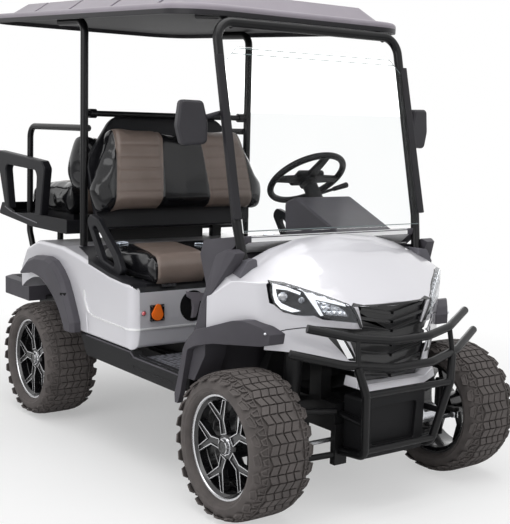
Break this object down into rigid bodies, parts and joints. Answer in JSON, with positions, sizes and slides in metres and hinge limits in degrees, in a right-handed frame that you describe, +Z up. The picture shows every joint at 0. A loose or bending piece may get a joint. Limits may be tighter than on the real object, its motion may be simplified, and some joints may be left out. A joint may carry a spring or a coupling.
{
  "type": "golf cart",
  "caption": "Lifted electric golf cart with a front bench, a rear-facing bench, canopy roof, windshield, tubular brush guard and off-road tyres.",
  "frame": {"origin": "on the ground at mid length and mid width of the cart", "axes": "+X towards the driver's side (the cart's left), -Y towards the nose, +Z up"},
  "size_m": [1.34, 2.9807, 2.0615],
  "materials": {
    "pearl": "pearl metallic paint on moulded plastic",
    "black_steel": "satin black powder coat",
    "frame_steel": "matt black chassis paint",
    "grained_plastic": "fine grained moulding",
    "dark_trim": "fine grained moulding",
    "gloss_black": "gloss",
    "tyre": "matt rubber",
    "rim": "black painted with machined faces",
    "machine_steel": "zinc plated",
    "seat_vinyl": "stitched vinyl",
    "clear_sheet": "clear acrylic",
    "lamp_lens": "clear polycarbonate",
    "roof_skin": "satin moulded",
    "port_orange": "moulded",
    "battery_case": "moulded"
  },
  "bodies": {
    "cart": {"chassis_frame": "frame_steel", "battery_pack": "battery_case", "floor_pan": "grained_plastic", "front_cowl": "pearl", "headlights": "lamp_lens", "grille": "gloss_black", "cowl_trim": "dark_trim", "dashboard": "dark_trim", "steering_column": "grained_plastic", "pedals": "black_steel", "rear_body": "pearl", "front_flares": "dark_trim", "rear_flares": "dark_trim", "bumper_lip": "pearl", "bash_plate": "grained_plastic", "brush_guard": "black_steel", "front_suspension": "frame_steel", "steering_rack": "machine_steel", "rear_axle": "frame_steel", "rear_springs": "frame_steel", "seat_plinth": "grained_plastic", "front_seat_back": "seat_vinyl", "seat_back_shell": "grained_plastic", "arm_guards": "gloss_black", "front_struts": "black_steel", "strut_covers": "dark_trim", "windshield": "clear_sheet", "mirrors": "grained_plastic", "rear_struts": "black_steel", "roof": "roof_skin", "roof_liner": "grained_plastic", "rear_seat_tub": "grained_plastic", "rear_seat_back": "seat_vinyl", "rear_armrests": "grained_plastic", "rear_frame": "black_steel", "rear_step": "grained_plastic", "charge_port": "port_orange"},
    "steering_wheel": {"steering_wheel": "grained_plastic"},
    "tie_rods": {"tie_rods": "machine_steel"},
    "knuckle_left": {"knuckle_left": "frame_steel"},
    "knuckle_right": {"knuckle_right": "frame_steel"},
    "front_seat_cushion": {"front_seat_cushion": "seat_vinyl"},
    "rear_seat_cushion": {"rear_seat_cushion": "seat_vinyl"},
    "wheel_front_left": {"tyre_front_left": "tyre", "rim_front_left": "rim"},
    "wheel_front_right": {"tyre_front_right": "tyre", "rim_front_right": "rim"},
    "wheel_rear_left": {"tyre_rear_left": "tyre", "rim_rear_left": "rim"},
    "wheel_rear_right": {"tyre_rear_right": "tyre", "rim_rear_right": "rim"}
  },
  "joints": [
    {"name": "steering_wheel_turn", "type": "hinge", "parent": "cart", "child": "steering_wheel", "pos_m": [0.27, -0.47, 1.222], "axis": [0, 0.6157, 0.788], "range_deg": [-450, 450]},
    {"name": "rack_slide", "type": "slide", "parent": "cart", "child": "tie_rods", "axis": [1, 0, 0], "range_m": [-0.0371, 0.0371]},
    {"name": "steer_left", "type": "hinge", "parent": "cart", "child": "knuckle_left", "pos_m": [0.495, -1.15, 0.279], "axis": [0, 0, 1], "range_deg": [-24.01, 24.01]},
    {"name": "steer_right", "type": "hinge", "parent": "cart", "child": "knuckle_right", "pos_m": [-0.495, -1.15, 0.279], "axis": [0, 0, 1], "range_deg": [-24.01, 24.01]},
    {"name": "wheel_spin_front_left", "type": "hinge", "parent": "knuckle_left", "child": "wheel_front_left", "pos_m": [0.543, -1.15, 0.279], "axis": [1, 0, 0], "continuous": true},
    {"name": "wheel_spin_front_right", "type": "hinge", "parent": "knuckle_right", "child": "wheel_front_right", "pos_m": [-0.543, -1.15, 0.279], "axis": [1, 0, 0], "continuous": true},
    {"name": "wheel_spin_rear_left", "type": "hinge", "parent": "cart", "child": "wheel_rear_left", "pos_m": [0.543, 0.53, 0.279], "axis": [1, 0, 0], "continuous": true},
    {"name": "wheel_spin_rear_right", "type": "hinge", "parent": "cart", "child": "wheel_rear_right", "pos_m": [-0.543, 0.53, 0.279], "axis": [1, 0, 0], "continuous": true},
    {"name": "front_seat_lid", "type": "hinge", "parent": "cart", "child": "front_seat_cushion", "pos_m": [0, 0.084, 0.888], "axis": [-1, 0, 0], "range_deg": [0, 24]},
    {"name": "rear_seat_lid", "type": "hinge", "parent": "cart", "child": "rear_seat_cushion", "pos_m": [0, 0.562, 1.136], "axis": [1, 0, 0], "range_deg": [0, 40]}
  ],
  "couplings": [
    {"joint": "steer_left", "follows": "steering_wheel_turn", "ratio": 0.053333},
    {"joint": "steer_right", "follows": "steering_wheel_turn", "ratio": 0.053333},
    {"joint": "rack_slide", "follows": "steering_wheel_turn", "m_per_rad": 0.004661}
  ]
}
